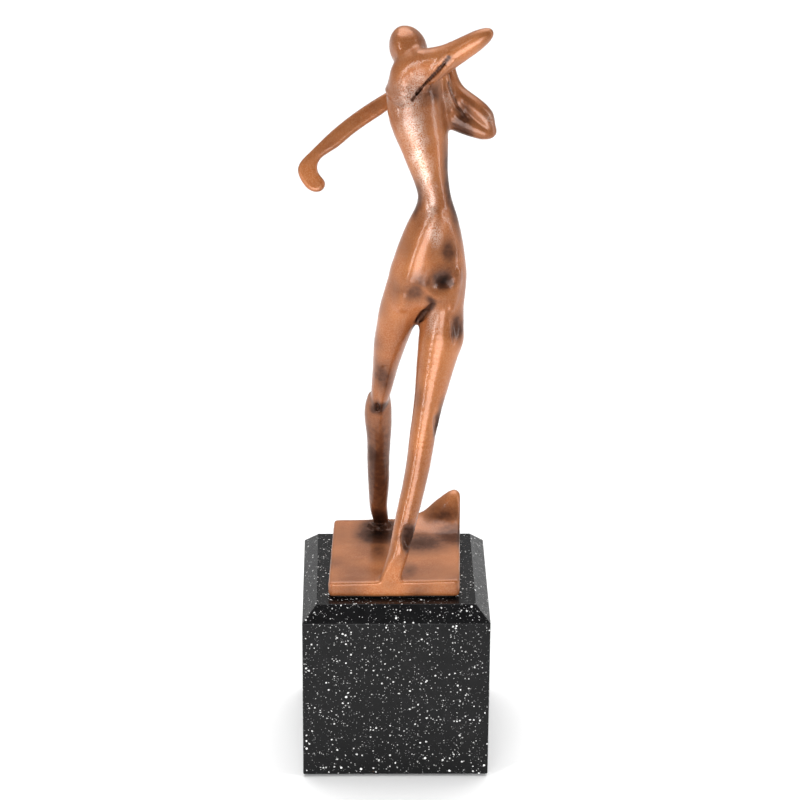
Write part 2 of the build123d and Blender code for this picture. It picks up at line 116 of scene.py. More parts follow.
class Shader(Nodes):
    """A material's nodes, from its coordinates to its surface."""

    def __init__(self, name):
        self.material = bpy.data.materials.new(name)
        self.material.use_nodes = True
        super().__init__(self.material.node_tree)
        self.inputs = self.nodes["Principled BSDF"].inputs
        self.place = self.coordinates["Object"]

    def surface(self, **values):
        """Sets the surface's inputs, named in lower case with _ for a space."""
        names = {name.lower().replace(" ", "_"): name for name in self.inputs.keys()}
        for key, value in values.items():
            self.set(self.inputs[names[key]], value)
        return self.material

    def noise(self, size, detail=3.0, roughness=0.55):
        """Noise from 0 to 1 whose features are about size millimetres across."""
        scale = 1 / (size * MM)
        inputs = [("Vector", self.place), ("Scale", scale), ("Detail", detail), ("Roughness", roughness)]
        return self.put("TexNoise", inputs).outputs["Fac"]

    def mix(self, share, a, b):
        """A colour between a and b."""
        node = self.put("Mix", data_type="RGBA")
        self.set(node.inputs[0], share)
        self.set(node.inputs[6], a)
        self.set(node.inputs[7], b)
        return node.outputs[2]

    def mask(self, name):
        """A mask that the mesh carries on its vertices."""
        return self.put("Attribute", attribute_name=name).outputs["Fac"]

    def bump(self, height, distance, strength=1.0, below=None):
        """A normal bent by height over distance millimetres, on top of the bump below."""
        inputs = [("Height", height), ("Distance", distance * MM), ("Strength", strength)]
        if below is not None:
            inputs.append(("Normal", below))
        return self.put("Bump", inputs).outputs["Normal"]


# ---------------------------------------------------------------- camera, floor and light

# Where the photo was taken from: metres, degrees, and the lens in millimetres.
CAMERA_DISTANCE = 0.92806
CAMERA_ELEVATION = 23.706
CAMERA_AZIMUTH = 1.051
CAMERA_ROLL = 0.391
CAMERA_LENS = 131.18
AIM_HEIGHT_SHARE = 0.4897
AIM_X = 0.0012

# The floor's tone on the camera's side and behind the trophy, and the y in metres where each begins.
FLOOR_SIZE = 12.0
FLOOR_CHANGE = (-0.30, -0.04)
FLOOR_TONES = (0.42, 0.92)

# The studio's wall goes from dim behind the camera to pale behind the trophy. Its skylight is straight
# overhead, leaning back by SKYLIGHT_LEAN. Each CHANGE is where a direction's y, or leaning height, makes
# the strength start and stop rising.
WALL_CHANGE = (-0.9, 0.3)
WALL_STRENGTHS = (0.14, 0.42)
SKYLIGHT_CHANGE = (0.74, 1.0)
SKYLIGHT_STRENGTHS = (0.0, 2.1)
SKYLIGHT_LEAN = 0.35

# Area lights: name, place and size in metres, power in watts, and the point that they face.
SOFTBOXES = [
    ("left_strip", (-0.55, -0.50, 0.25), (0.08, 0.60), 2.2, (0, 0, 0.14)),
    ("front_strip", (-0.06, -0.38, 0.11), (0.24, 0.22), 1.1, (0, 0, 0.20)),
    ("right_strip", (0.70, -0.25, 0.35), (0.08, 0.90), 2.2, (0, 0, 0.14)),
    ("overhead", (0.0, 0.25, 1.3), (1.2, 1.2), 5.0, (0, 0, 0.14)),
]


def add_camera():
    """A long lens in front of the trophy, looking down on it a little."""
    az, el, roll = (radians(a) for a in (CAMERA_AZIMUTH, CAMERA_ELEVATION, CAMERA_ROLL))
    forward = Vector((sin(az) * cos(el), cos(az) * cos(el), -sin(el)))
    level = forward.cross(Vector((0, 0, 1))).normalized()
    lift = level.cross(forward)
    right = level * cos(roll) + lift * sin(roll)
    up = lift * cos(roll) - level * sin(roll)
    camera = bpy.data.objects.new("camera", bpy.data.cameras.new("camera"))
    bpy.context.scene.collection.objects.link(camera)
    camera.data.lens = CAMERA_LENS
    camera.data.clip_end = 20
    aim = Vector((AIM_X, 0, cad_box[1].z * AIM_HEIGHT_SHARE))
    turn = Matrix((right, up, -forward)).transposed().to_4x4()
    camera.matrix_world = Matrix.Translation(aim - forward * CAMERA_DISTANCE) @ turn
    bpy.context.scene.camera = camera


def add_floor():
    """A pale floor, which is also the backdrop."""
    bpy.ops.mesh.primitive_plane_add(size=FLOOR_SIZE, location=(0, 0, cad_box[0].z))
    floor = bpy.context.object
    floor.name = "floor"
    s = Shader("floor")
    tone = s.remap(s.split(s.place)["Y"], *FLOOR_CHANGE, *FLOOR_TONES)
    floor.data.materials.append(s.surface(base_color=tone, roughness=0.9, specular_ior_level=0.1))


def add_softbox(name, place, size, power, aim):
    """A rectangular area light at place, facing aim."""
    data = bpy.data.lights.new(name, "AREA")
    data.shape = "RECTANGLE"
    data.size, data.size_y = size
    data.energy = power
    lamp = bpy.data.objects.new(name, data)
    bpy.context.scene.collection.objects.link(lamp)
    lamp.location = place
    lamp.rotation_euler = (Vector(aim) - Vector(place)).to_track_quat("-Z", "Y").to_euler()


def add_light():
    """A white studio that is darker on the camera's side, with softboxes."""
    world = bpy.data.worlds.new("studio")
    bpy.context.scene.world = world
    world.use_nodes = True
    sky = Nodes(world.node_tree)
    way = sky.split(sky.coordinates["Generated"])
    wall = sky.remap(way["Y"], *WALL_CHANGE, *WALL_STRENGTHS)
    leaning_height = sky.math("MULTIPLY_ADD", way["Y"], SKYLIGHT_LEAN, way["Z"])
    skylight = sky.remap(leaning_height, *SKYLIGHT_CHANGE, *SKYLIGHT_STRENGTHS)
    background = sky.nodes["Background"].inputs
    sky.set(background["Strength"], sky.math("ADD", wall, skylight))
    background["Color"].default_value = (1, 1, 1, 1)
    for softbox in SOFTBOXES:
        add_softbox(*softbox)


# ---------------------------------------------------------------- distance fields

# The grid's cell, how far out from a surface its distances reach, and its room round the castings.
VOXEL = 0.45
BAND = 6.0
MARGIN = 3.0


def node_mesh(node):
    """A CAD node's vertices in millimetres, and its triangles."""
    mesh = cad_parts[node].data
    mesh.calc_loop_triangles()
    points = np.empty(len(mesh.vertices) * 3, np.float32)
    mesh.vertices.foreach_get("co", points)
    corners = np.empty(len(mesh.loop_triangles) * 3, np.int32)
    mesh.loop_triangles.foreach_get("vertices", corners)
    return points.reshape(-1, 3) / MM, corners.reshape(-1, 3).astype(np.uint32)


def span(node):
    """A CAD node's lowest and highest corner in millimetres."""
    return tuple(np.array(corner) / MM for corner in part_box(node))


LOWEST = np.min([span(n)[0] for n in CASTINGS], axis=0) - MARGIN
HIGHEST = np.max([span(n)[1] for n in CASTINGS], axis=0) + MARGIN
START = np.floor(LOWEST / VOXEL).astype(int)
SHAPE = tuple(np.ceil(HIGHEST / VOXEL).astype(int) - START + 1)
AXES = [(START[k] + np.arange(SHAPE[k])).astype(np.float32) * np.float32(VOXEL) for k in range(3)]


def distance_field(node):
    """Signed distance in millimetres to a CAD node, on the grid, out to BAND."""
    points, triangles = node_mesh(node)
    grid = vdb.FloatGrid.createLevelSetFromPolygons(
        points=points,
        triangles=triangles,
        transform=vdb.createLinearTransform(voxelSize=VOXEL),
        halfWidth=BAND / VOXEL,
    )
    values = np.empty(SHAPE, np.float32)
    grid.copyToArray(values, ijk=tuple(int(i) for i in START))
    return values


def soft_min(a, b, blend):
    """The union of two fields, with a fillet about as wide as blend in their crease."""
    share = np.clip(0.5 + 0.5 * (b - a) / blend, 0, 1)
    return b + (a - b) * share - blend * share * (1 - share)


def interpolated(table, cell, share):
    """A table's values at a share of the way across its cells; past its end it starts again."""
    total = 0
    for corner in np.ndindex(2, 2, 2):
        weight = np.prod(np.where(corner, share, 1 - share), axis=1)
        total = total + weight * table[tuple(((cell + corner) % table.shape).T)]
    return total


def sample(field, points):
    """The field at points, in millimetres."""
    place = points / VOXEL - START
    cell = np.clip(np.floor(place).astype(int), 0, np.array(SHAPE) - 2)
    return interpolated(field, cell, place - cell)


def slope(field, points):
    """The unit gradient of a field at points, which is the outward normal of its surface."""
    steps = np.eye(3) * VOXEL
    rise = np.stack([sample(field, points + s) - sample(field, points - s) for s in steps], axis=1)
    return rise / np.maximum(np.linalg.norm(rise, axis=1, keepdims=True), 1e-9)


def smoothed(values, radius, axes=(0, 1, 2)):
    """A part of a field, averaged over about a radius in millimetres along some axes."""
    reach = max(1, int(round(2 * radius / VOXEL)))
    weights = np.exp(-0.5 * (np.arange(-reach, reach + 1) * VOXEL / radius) ** 2)
    weights /= weights.sum()
    for axis in axes:
        padded = np.pad(values, [(reach, reach) if a == axis else (0, 0) for a in range(3)], mode="edge")
        length = values.shape[axis]
        values = sum(w * np.take(padded, range(i, i + length), axis) for i, w in enumerate(weights))
    return values.astype(np.float32)


def window(lowest, highest):
    """The grid's slices that hold a box, and its coordinates there, ready to broadcast."""
    first = np.clip(np.floor(lowest / VOXEL).astype(int) - START, 0, SHAPE)
    last = np.clip(np.ceil(highest / VOXEL).astype(int) - START + 1, 0, SHAPE)
    part = tuple(slice(a, b) for a, b in zip(first, last))
    x, y, z = (AXES[k][part[k]] for k in range(3))
    return part, (x[:, None, None], y[None, :, None], z[None, None, :])


def chain_distance(points, radii, where):
    """Distance to a chain of round cones through points."""
    x, y, z = where
    nearest = np.float32(99)
    for a, b, ra, rb in zip(points, points[1:], radii, radii[1:]):
        way = b - a
        length = max(float(way @ way), 1e-9)
        share = ((x - a[0]) * way[0] + (y - a[1]) * way[1] + (z - a[2]) * way[2]) / length
        share = np.clip(share, 0, 1)
        gap = (x - a[0] - share * way[0]) ** 2 + (y - a[1] - share * way[1]) ** 2
        gap = gap + (z - a[2] - share * way[2]) ** 2
        nearest = np.minimum(nearest, np.sqrt(gap) - (ra + (rb - ra) * share))
    return nearest


def along(line, count):
    """count points, evenly numbered, along a line of (across, up) shares."""
    steps = np.linspace(0, len(line) - 1, count)
    return list(zip(*(np.interp(steps, range(len(line)), column) for column in zip(*line))))


# How widely each casting's crease is filled where it meets those before it, in millimetres.
FILLETS = [
    ("head", 0.5), ("right_arm", 2.4), ("left_arm", 1.6), ("clasped_hands", 1.2),
    ("golf_club", 0.8), ("right_shin", 1.3), ("ground_plate", 0.9),
]


class Skin:
    """The melted surface, and the marks made on it."""

    def __init__(self):
        self.parts = {n: distance_field(n) for n in CASTINGS}
        self.field = None

    def melt(self):
        """Joins the castings, with a crease as soft as each joint's own."""
        hips = soft_min(self.parts["left_leg"], self.parts["torso"], 1.2)
        self.field = soft_min(hips, self.parts["right_thigh"], 1.0)
        # The hip seams, then the outline from hip to thigh on both sides.
        self.soften("torso", (0.50, 0.4, 0.0), (40, 40, 10), 1.6)
        self.soften("torso", (0.08, 0.4, 0.0), (12.5, 24, 15), 5.0, axes=(2,))
        self.soften("torso", (0.98, 0.4, 0.0), (10, 24, 13), 4.5, axes=(2,))
        for node, width in FILLETS:
            self.field = soft_min(self.field, self.parts[node], width)
        self.field = smoothed(self.field, 0.45)
        # The left elbow.
        self.soften("left_arm", (1.0, 0.45, 0.12), (8, 8, 7), 1.6)

    def at(self, node, across, deep, up):
        """The point at three shares of a node's box."""
        lowest, highest = span(node)
        return lowest + np.array([across, deep, up]) * (highest - lowest)

    def soften(self, node, shares, reach, radius, axes=(0, 1, 2)):
        """Evens out the surface around a point of a node's box, fading over reach."""
        centre, reach = self.at(node, *shares), np.array(reach, float)
        part, where = window(centre - reach, centre + reach)
        gap = sum(((w - c) / r) ** 2 for w, c, r in zip(where, centre, reach))
        share = np.clip(1.6 * (1 - gap), 0, 1).astype(np.float32)
        self.field[part] += share * (smoothed(self.field[part], radius, axes) - self.field[part])

    def fill(self, node, points, radii, blend):
        """Adds metal along a chain of points of a node's box."""
        points, radii = np.array([self.at(node, *p) for p in points]), np.array(radii, float)
        reach = radii.max() + 2 * blend + 1
        part, where = window(points.min(0) - reach, points.max(0) + reach)
        self.field[part] = soft_min(self.field[part], chain_distance(points, radii, where), blend)

    def spot(self, node, across, up):
        """The point of the front surface at a share of a node's width and height."""
        lowest, highest = span(node)
        x = lowest[0] + across * (highest[0] - lowest[0])
        z = lowest[2] + up * (highest[2] - lowest[2])
        depth = AXES[1].astype(float)
        column = np.stack([np.full_like(depth, x), depth, np.full_like(depth, z)], axis=1)
        values = sample(self.field, column)
        inside = int(np.argmax(values < 0))
        if values[inside] >= 0:
            return column[int(np.argmin(values))]
        before = max(inside - 1, 0)
        share = values[before] / max(values[before] - values[inside], 1e-9)
        return column[before] + share * (column[inside] - column[before])

    def mark(self, node, shares, radius, lift, blend=0.6, taper=0.25):
        """A ridge (lift above 0) or a groove (below 0) along points of the front surface.

        radius is that of the round tool that makes it, and taper its share at both ends.
        """
        line = along(shares, 4 * len(shares) - 3)
        points = np.array([self.spot(node, *share) for share in line])
        place = np.linspace(-1, 1, len(points))
        radii = radius * (taper + (1 - taper) * (1 - place**2))
        offset = (lift - radii) if lift > 0 else (radii + lift)
        centres = points + slope(self.field, points) * offset[:, None]
        reach = radius + 2 * blend + 1
        part, where = window(centres.min(0) - reach, centres.max(0) + reach)
        tool = chain_distance(centres, radii, where)
        if lift > 0:
            self.field[part] = soft_min(self.field[part], tool, blend)
        else:
            self.field[part] = -soft_min(-self.field[part], tool, blend)

    def hollow(self, node, across, up, radii, depth, blend=1.5, lean=0.0):
        """A soft oval hollow in the front surface: radii across and up, lean in degrees."""
        point = self.spot(node, across, up)
        normal = slope(self.field, point[None])[0]
        side = np.cross((0, 0, 1), -normal)
        side /= np.linalg.norm(side)
        rise = np.cross(side, normal)
        tilt = radians(lean)
        side, rise = side * cos(tilt) + rise * sin(tilt), rise * cos(tilt) - side * sin(tilt)
        thick = max(depth * 1.6, 1.0)
        centre = point + normal * (thick - depth)
        reach = max(radii) + 2 * blend + 1
        part, (x, y, z) = window(centre - reach, centre + reach)
        gap_x, gap_y, gap_z = x - centre[0], y - centre[1], z - centre[2]
        gaps = [gap_x * way[0] + gap_y * way[1] + gap_z * way[2] for way in (side, rise, normal)]
        half_axes = (*radii, thick)
        stretched = np.sqrt(sum((gap / half) ** 2 for gap, half in zip(gaps, half_axes)))
        tool = (stretched - 1) * min(half_axes)
        self.field[part] = -soft_min(-self.field[part], tool.astype(np.float32), blend)

    def mesh(self):
        """Vertices and triangles of the skin."""
        grid = vdb.FloatGrid()
        grid.background = BAND
        grid.copyFromArray(self.field, ijk=tuple(int(i) for i in START))
        grid.transform = vdb.createLinearTransform(voxelSize=VOXEL)
        points, quads = grid.convertToQuads(isovalue=0.0)
        quads = quads.astype(int)
        triangles = np.concatenate([quads[:, [0, 1, 2]], quads[:, [0, 2, 3]]])
        return points.astype(float), triangles


# Dark creases: shares of a node's width and height along the front surface.
SLIT = [(0.25, 0.05), (0.33, 0.17), (0.41, 0.33), (0.50, 0.49), (0.58, 0.64)]
FOLD = [(0.20, 0.84), (0.26, 0.67), (0.335, 0.53), (0.42, 0.42), (0.50, 0.33)]
CROTCH = [(0.60, 0.036), (0.55, 0.005), (0.49, -0.035), (0.44, -0.065)]


def dress(skin):
    """The creases, hollows and ridges of the figure."""
    mark, hollow = skin.mark, skin.hollow
    # Web of metal that closes the left arm's bend against the chest.
    web = [(0.12, 0.34, 0.90), (0.17, 0.30, 0.68), (0.26, 0.32, 0.45), (0.44, 0.42, 0.27)]
    skin.fill("left_arm", web, (2.2, 2.3, 2.2, 1.6), 1.6)
    # Bead of filler around the trailing foot.
    bead = [
        (0.22, 0.82, 0.055), (0.36, 0.71, 0.05), (0.60, 0.68, 0.055), (0.82, 0.73, 0.05), (0.92, 0.85, 0.055),
    ]
    skin.fill("right_shin", bead, (0.8, 1.1, 0.8, 1.1, 0.8), 0.6)
    # Leaf-shaped slit under the crossing arm, with a raised lip above it and a fold below.
    mark("right_arm", [(a - 0.015, u + 0.06) for a, u in SLIT[1:]], 1.0, 0.30, 0.8)
    mark("right_arm", [(a + 0.05, u - 0.03) for a, u in SLIT[1:]], 0.8, 0.25, 0.8)
    mark("right_arm", SLIT, 0.85, -1.15, 0.3, taper=0.35)
    # Hip: the deep dimple, the shallow hollow over it and the broad one beside it.
    hollow("torso", 0.715, 0.125, (3.3, 3.0), 1.9, 2.8)
    hollow("torso", 0.76, 0.25, (2.4, 4.0), 0.5, 2.2)
    hollow("torso", 0.36, 0.085, (4.2, 2.4), 0.45, 1.4, lean=30)
    hip_edge = [(0.64, 0.40), (0.57, 0.36), (0.49, 0.30), (0.39, 0.21), (0.30, 0.11), (0.24, 0.02)]
    mark("torso", hip_edge, 3.0, 0.12, 3.0)
    mark("torso", [(0.90, 0.16), (0.885, 0.11), (0.855, 0.06), (0.82, 0.01)], 1.6, 0.20, 1.4)
    # Crotch crease, running up and to the right from the gap between the legs.
    mark("torso", CROTCH, 1.1, -0.6, 0.8, taper=0.3)
    # Standing leg: dimple beside the drip, scoop half-way down, and ankle scoop.
    hollow("left_leg", 0.872, 0.90, (2.0, 3.0), 0.7, 1.8)
    mark("left_leg", [(0.80, 0.925), (0.815, 0.89), (0.82, 0.86)], 0.9, 0.30, 0.8)
    hollow("left_leg", 0.665, 0.56, (1.7, 6.5), 1.0, 0.5, lean=-14)
    hollow("left_leg", 0.325, 0.185, (2.9, 5.0), 1.5, 0.5, lean=-12)
    # Trailing leg: a channel down the thigh into the notch at the knee.
    mark("right_thigh", [(0.24, 0.45), (0.17, 0.34), (0.12, 0.23), (0.11, 0.13)], 1.5, -0.5, 1.0)
    mark("right_shin", [(0.46, 0.95), (0.455, 0.91)], 0.9, -1.2, 0.4, taper=0.8)
    # Left arm: the deep fold between upper arm and forearm.
    mark("left_arm", FOLD, 0.55, -0.40, 0.35, taper=0.6)
    # Head: two soft edges that run from the crown to the brow.
    mark("head", [(0.22, 0.86), (0.22, 0.74), (0.27, 0.58)], 2.2, 0.16, 1.6)
    mark("head", [(0.55, 0.93), (0.64, 0.80), (0.72, 0.66)], 2.2, 0.16, 1.6)


# ---------------------------------------------------------------- marks on the surface

# Tables of soft spots on the front: node, share across and up, radii in millimetres, strength.
# Dark blown-on patina, a painted shadow of the crossing arm on the chest, and darker bands down the torso's
# sides.
PATINA_AND_SHADOW_SPOTS = [
    ("torso", 0.715, 0.130, (6.5, 8.0, 6.0), 1.0),
    ("torso", 0.68, 0.150, (12.0, 12.0, 10.0), 0.66),
    ("torso", 0.77, 0.25, (6.5, 9.0, 10.0), 0.62),
    ("torso", 0.49, 0.13, (10.0, 10.0, 7.0), 0.55),
    ("torso", 0.38, 0.085, (10.0, 10.0, 7.5), 0.60),
    # Painted shadow of the crossing arm on the chest.
    ("torso", 0.57, 0.88, (8.0, 9.0, 8.0), 0.60),
    ("torso", 0.24, 0.84, (5.0, 6.0, 7.0), 0.45),
    ("torso", 0.58, 0.055, (6.0, 6.0, 3.5), 0.65),
    # Darker down the left of the waist and the right side of the torso.
    ("torso", 0.42, 0.46, (6.0, 10.0, 15.0), 0.72),
    ("torso", 0.86, 0.50, (9.0, 12.0, 30.0), 0.80),
    ("torso", 0.93, 0.70, (9.0, 12.0, 26.0), 0.72),
    ("left_leg", 0.90, 0.90, (6.5, 9.0, 9.0), 0.72),
    ("left_leg", 0.72, 0.56, (5.0, 8.0, 15.0), 0.92),
    ("left_leg", 0.34, 0.185, (5.5, 8.0, 12.0), 0.95),
    ("left_leg", 0.22, 0.40, (5.0, 8.0, 20.0), 0.35),
    ("right_thigh", 0.22, 0.36, (7.5, 8.0, 16.0), 0.60),
    ("right_thigh", 0.14, 0.08, (7.0, 7.0, 8.0), 0.60),
    ("right_shin", 0.46, 0.93, (6.0, 7.0, 6.0), 0.85),
    ("right_shin", 0.30, 0.58, (6.5, 8.0, 15.0), 0.75),
    ("left_arm", 0.24, 0.62, (8.0, 10.0, 9.0), 0.30),
    ("left_arm", 0.52, 0.06, (12.0, 12.0, 5.0), 0.45),
    ("right_arm", 0.30, 0.12, (7.0, 8.0, 6.0), 0.5),
    ("golf_club", 0.88, 0.80, (12.0, 9.0, 7.0), 0.45),
]

# Painted highlights: milky, paler patches where the studio's light is reflected, painted into the metal's
# colour.
PAINTED_HIGHLIGHTS = [
    ("torso", 0.33, 0.87, (7.0, 8.0, 9.0), 1.0),
    ("torso", 0.37, 0.76, (6.0, 8.0, 10.0), 1.0),
    ("torso", 0.43, 0.66, (4.5, 8.0, 10.0), 1.0),
    ("torso", 0.50, 0.56, (4.0, 8.0, 10.0), 0.95),
    ("torso", 0.58, 0.44, (3.5, 8.0, 10.0), 0.9),
    ("torso", 0.63, 0.33, (3.0, 7.0, 7.0), 0.8),
    ("right_arm", 0.20, 0.20, (4.5, 7.0, 4.5), 0.7),
    ("left_leg", 0.61, 0.93, (3.0, 6.0, 7.0), 0.6),
    ("left_arm", 0.20, 0.60, (3.5, 6.0, 5.0), 0.5),
    ("left_arm", 0.82, 0.35, (3.0, 6.0, 4.0), 0.7),
    ("head", 0.70, 0.22, (4.0, 6.0, 4.0), 0.6),
]

# Coarse cast skin that was never filed.
ROUGH_SPOTS = [
    ("right_arm", 0.27, 0.16, (8, 8, 9), 1.0),
    ("left_arm", 0.36, 0.42, (6, 6, 8), 1.0),
    ("right_shin", 0.50, 0.06, (7, 7, 6), 1.0),
]
# Fine ripples down the standing leg.
RIPPLED_SPOTS = [
    ("left_leg", 0.62, 0.78, (5, 7, 20), 1.0),
    ("left_leg", 0.52, 0.52, (5, 7, 20), 1.0),
    ("left_leg", 0.40, 0.28, (5, 7, 20), 1.0),
]
# Patina in the creases: node, line on its front, radius in millimetres, strength.
PATINA_LINES = [
    ("right_arm", SLIT, 1.5, 0.85),
    ("left_arm", FOLD, 1.5, 0.6),
    ("torso", CROTCH, 3.0, 0.80),
]
# Stains away from the front: node, shares of its box, radii in millimetres, strength.
STAINS = [
    ("ground_plate", (0.38, 0.88, 0.33), (14, 11, 7), 0.85),
    ("ground_plate", (0.37, 0.50, 0.33), (7, 18, 6), 0.52),
    ("ground_plate", (0.70, 0.60, 0.35), (20, 15, 14), 0.70),
    ("ground_plate", (0.94, 0.68, 0.42), (18, 15, 14), 0.72),
    ("ground_plate", (0.86, 0.86, 0.58), (17, 12, 9), 0.58),
    ("ground_plate", (0.60, 0.16, 0.30), (6, 10, 5), 0.50),
    ("ground_plate", (0.44, 0.10, 0.30), (6, 8, 5), 0.40),
    ("ground_plate", (0.08, 0.75, 0.30), (12, 18, 5), 0.30),
    ("right_shin", (0.5, 0.4, 0.5), (22, 24, 70), 0.62),
    ("right_shin", (0.5, 0.5, 0.05), (14, 16, 18), 0.95),
]

# How far points are moved about, in millimetres, before spots and stains are drawn on them.
SPOT_BEND = 1.1
SPOT_FRAY = 0.5
STAIN_BEND = 0.4
# The faint clouds of patina all over: middle and swing of their strength.
CLOUD_LEVEL = 0.18
CLOUD_SWING = 0.22

# Unevenness of the metal: height and width of the bumps in millimetres, and their seed.
WANDER = [(0.07, 6.0, 1), (0.03, 2.2, 2)]
GRIT = [(0.16, 1.0, 3), (0.10, 0.6, 4)]
# Ripples: height in millimetres, radians for each millimetre along the leg, and how far they stray.
RIPPLE_HEIGHT = 0.05
RIPPLE_TURN = 3.6
RIPPLE_STRAY = 2.2

# What each vertex carries to the copper material.
MASKS = ("patina_and_shadow", "shade", "painted_highlight")


def lattice_noise(points, width, seed):
    """Smooth noise from -1 to 1 whose bumps are about width millimetres across."""
    table = np.random.default_rng(seed).uniform(-1, 1, (32, 32, 32))
    cell = np.floor(points / width).astype(int)
    share = points / width - cell
    return interpolated(table, cell, share * share * (3 - 2 * share))


def vertex_normals(points, triangles):
    """Area-weighted vertex normals."""
    a, b, c = (points[triangles[:, k]] for k in range(3))
    face = np.cross(b - a, c - a)
    normals = np.zeros_like(points)
    for k in range(3):
        for axis in range(3):
            normals[:, axis] += np.bincount(triangles[:, k], face[:, axis], len(points))
    return normals / np.maximum(np.linalg.norm(normals, axis=1, keepdims=True), 1e-12)


def soft_spot(points, centre, radii):
    """1 at centre, falling smoothly to 0 over radii."""
    gap = np.sqrt((((points - centre) / np.array(radii)) ** 2).sum(1))
    return np.clip(1 - gap, 0, 1) ** 2 * (1 + 2 * np.clip(gap, 0, 1))


def layered_noise(points, layers):
    """Lattice noise of several heights and widths in one."""
    return sum(height * lattice_noise(points, width, seed) for height, width, seed in layers)


def front_spots(skin, points, table):
    """How strongly the spots of a table touch each point."""
    return np.maximum.reduce([
        strength * soft_spot(points, skin.spot(node, across, up), radii)
        for node, across, up, radii, strength in table
    ])


def patina_and_shadow_on(skin, points, bend, bent):
    """How dark the patina and the painted shadow are at each point: spots, creases, stains and faint clouds.
    """
    mask = front_spots(skin, bent, PATINA_AND_SHADOW_SPOTS)
    for node, line, radius, strength in PATINA_LINES:
        for share in along(line, 4 * len(line)):
            mask = np.maximum(mask, strength * soft_spot(points, skin.spot(node, *share), (radius,) * 3))
    strayed = points + STAIN_BEND * bend
    for node, shares, radii, strength in STAINS:
        mask = np.maximum(mask, strength * soft_spot(strayed, skin.at(node, *shares), radii))
    return np.maximum(mask, CLOUD_LEVEL + CLOUD_SWING * lattice_noise(points, 7.0, 21))


def shut_in(field, points, normals):
    """How much the skin itself shades each point, from 0 in the open to 1 in a crease."""
    total = 0
    for reach, weight in ((1.0, 0.3), (2.0, 0.3), (4.0, 0.4)):
        clear = sample(field, points + normals * reach) / reach
        total = total + weight * (1 - np.clip(clear, 0, 1))
    return np.clip(total, 0, 1)


def corner_first(triangles, chosen):
    """The same triangles, each turned so that its chosen corner comes first."""
    turn = (np.argmax(chosen, axis=1)[:, None] + np.arange(3)) % 3
    return np.take_along_axis(triangles, turn, axis=1)


def cut_piece(points, triangles, values, gap):
    """The part of a mesh where gap is below 0, with new corners on its edge.

    values holds what every corner carries, one row each. Returns points, triangles and values.
    """
    inside = gap[triangles] < 0
    count = inside.sum(1)
    one = corner_first(triangles[count == 1], inside[count == 1])
    two = corner_first(triangles[count == 2], ~inside[count == 2])
    crossed = np.concatenate([one[:, [0, 1]], one[:, [0, 2]], two[:, [0, 1]], two[:, [0, 2]]])
    edges, number = np.unique(np.sort(crossed, axis=1), axis=0, return_inverse=True)
    first, second = gap[edges[:, 0]], gap[edges[:, 1]]
    share = (first / (first - second))[:, None]
    made = points[edges[:, 0]] * (1 - share) + points[edges[:, 1]] * share
    made_values = values[edges[:, 0]] * (1 - share) + values[edges[:, 1]] * share
    new = number.reshape(-1) + len(points)
    one_ab, one_ac, two_ab, two_ac = np.split(new, np.cumsum([len(one), len(one), len(two)]))
    triangles = np.concatenate([
        triangles[count == 3],
        np.stack([one[:, 0], one_ab, one_ac], axis=1),
        np.stack([two_ab, two[:, 1], two[:, 2]], axis=1),
        np.stack([two_ab, two[:, 2], two_ac], axis=1),
    ])
    used, number = np.unique(triangles, return_inverse=True)
    points = np.concatenate([points, made])[used]
    values = np.concatenate([values, made_values])[used]
    return points, number.reshape(-1, 3), values


def joined(count, links):
    """For each of count points, the lowest point that it is joined to by rows of links."""
    group = np.arange(count)
    while True:
        before = group.copy()
        lowest = group[links].min(1)
        for column in links.T:
            np.minimum.at(group, column, lowest)
        group = group[group]
        if (group == before).all():
            return group


def edge_loops(triangles, count):
    """The directed boundary edges, and a number for the loop that each belongs to."""
    edges = np.concatenate([triangles[:, [0, 1]], triangles[:, [1, 2]], triangles[:, [2, 0]]])
    key = edges[:, 0] * count + edges[:, 1]
    mirrored = edges[:, 1] * count + edges[:, 0]
    rim = edges[~np.isin(key, mirrored)]
    return rim, joined(count, rim)[rim[:, 0]]


def keep_large(points, triangles, values, least=40):
    """A mesh without its loose crumbs, which are those of fewer than least triangles."""
    group = joined(len(points), triangles)[triangles[:, 0]]
    names, sizes = np.unique(group, return_counts=True)
    triangles = triangles[np.isin(group, names[sizes >= least])]
    used, number = np.unique(triangles, return_inverse=True)
    return points[used], number.reshape(-1, 3), values[used]


def add_piece(node, material, points, triangles, values):
    """A closed Blender mesh of one casting, with the skin's own normals and masks."""
    points, triangles, values = keep_large(points, triangles, values)
    rim, loop = edge_loops(triangles, len(points))
    outer = len(triangles)
    # A flat fan of triangles closes each loop where the next casting begins.
    for name in np.unique(loop):
        edges = rim[loop == name]
        centre = points[edges[:, 0]].mean(0)
        points = np.concatenate([points, centre[None]])
        values = np.concatenate([values, values[edges[:, 0]].mean(0)[None]])
        hub = np.full(len(edges), len(points) - 1)
        triangles = np.concatenate([triangles, np.stack([edges[:, 1], edges[:, 0], hub], axis=1)])
    mesh = bpy.data.meshes.new(node + "_casting")
    mesh.from_pydata((points * MM).tolist(), [], triangles.tolist())
    mesh.polygons.foreach_set("use_smooth", [True] * len(triangles))
    a, b, c = (points[triangles[:, k]] for k in range(3))
    flat = np.cross(b - a, c - a)
    flat /= np.maximum(np.linalg.norm(flat, axis=1, keepdims=True), 1e-12)
    normals = values[triangles][:, :, :3].copy()
    normals[outer:] = flat[outer:, None]
    normals /= np.maximum(np.linalg.norm(normals, axis=2, keepdims=True), 1e-9)
    mesh.normals_split_custom_set(normals.reshape(-1, 3).tolist())
    for column, name in enumerate(MASKS, start=3):
        layer = mesh.attributes.new(name, "FLOAT", "POINT")
        layer.data.foreach_set("value", values[:, column].astype(np.float32))
    piece = bpy.data.objects.new(node + "_casting", mesh)
    bpy.context.scene.collection.objects.link(piece)
    piece.data.materials.append(material)
    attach(piece, "root")
    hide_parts(node)


